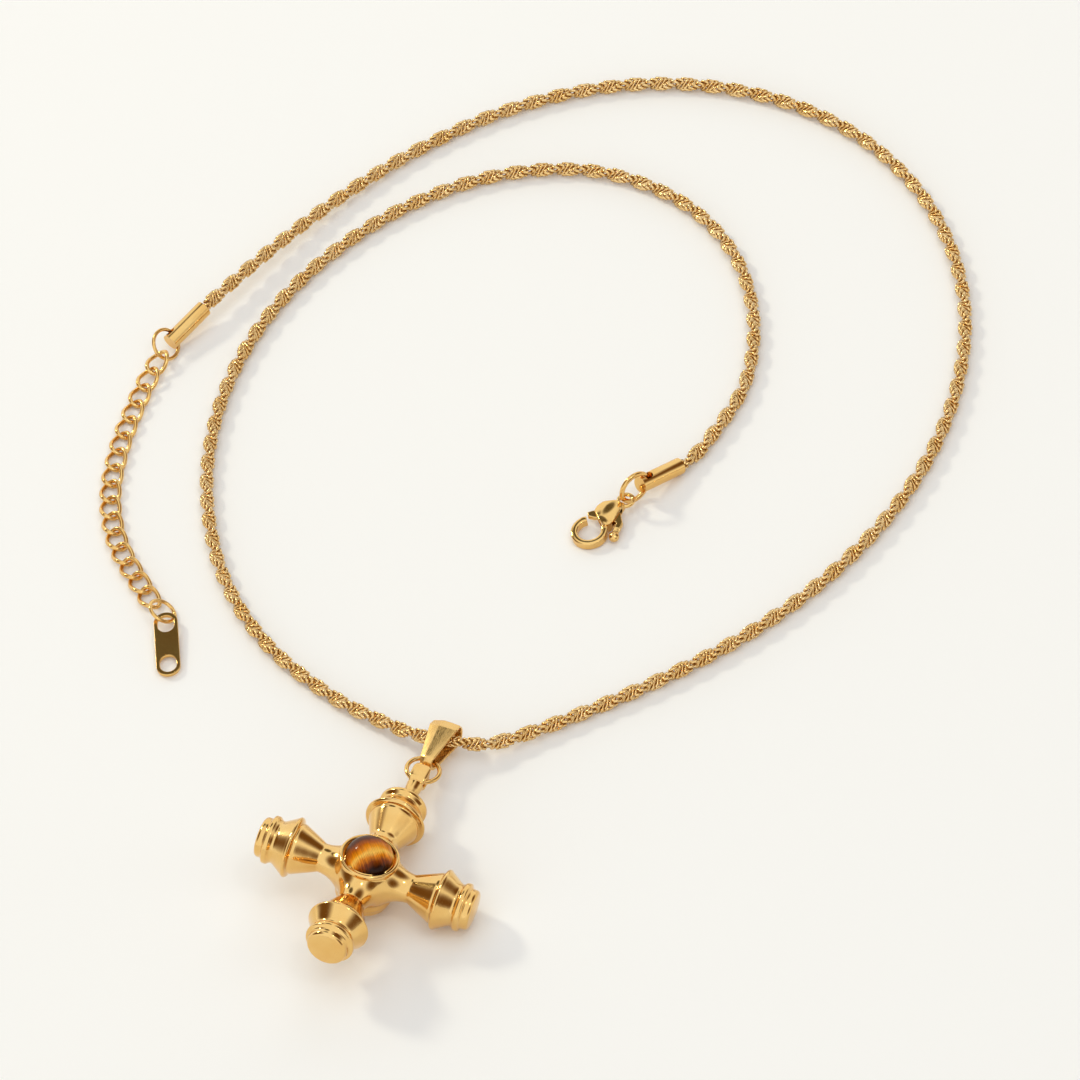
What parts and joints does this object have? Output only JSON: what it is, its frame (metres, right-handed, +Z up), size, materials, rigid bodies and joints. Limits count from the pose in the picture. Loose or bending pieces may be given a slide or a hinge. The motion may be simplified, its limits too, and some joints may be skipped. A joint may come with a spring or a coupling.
{
  "type": "pendant necklace",
  "caption": "Cross pendant with a round stone on a rope chain, lying open in a spiral, with a hook clasp and an extender chain of links",
  "frame": {"origin": "middle of the footprint, on the surface that the necklace rests on", "axes": "+Z up; the pendant lies towards -Y and the far turn of the chain towards +Y"},
  "size_m": [0.1094, 0.1422, 0.0107],
  "materials": {
    "gold": "polished gold plating",
    "rope": "polished gold plating, woven wire",
    "links": "polished gold plating",
    "tag": "polished gold plating that mirrors a dark room",
    "stone": "polished opaque stone with a silky band"
  },
  "bodies": {
    "root": {"cross_body": "gold", "stone": "stone", "pendant_ring": "gold", "bail": "gold", "rope_chain": "rope", "extender_tube": "gold", "extender_ring": "gold", "extender_link_1": "links", "extender_link_2": "links", "extender_link_3": "links", "extender_link_4": "links", "extender_link_5": "links", "extender_link_6": "links", "extender_link_7": "links", "extender_link_8": "links", "extender_link_9": "links", "extender_link_10": "links", "extender_link_11": "links", "extender_link_12": "links", "extender_link_13": "links", "extender_link_14": "links", "extender_link_15": "links", "extender_link_16": "links", "tag_ring": "gold", "tag": "tag", "clasp_tube": "gold", "clasp_ring": "gold", "clasp_body": "gold", "clasp_rivet": "gold"},
    "lever": {"clasp_lever": "gold"}
  },
  "joints": [
    {"name": "clasp_lever", "type": "hinge", "parent": "root", "child": "lever", "pos_m": [0.00616, -0.00458, 0.00108], "axis": [-0.0572, -0.0748, 0.9956], "range_deg": [0, 25], "stiffness_Nm_per_rad": 0.002, "springref_deg": -17.19}
  ]
}
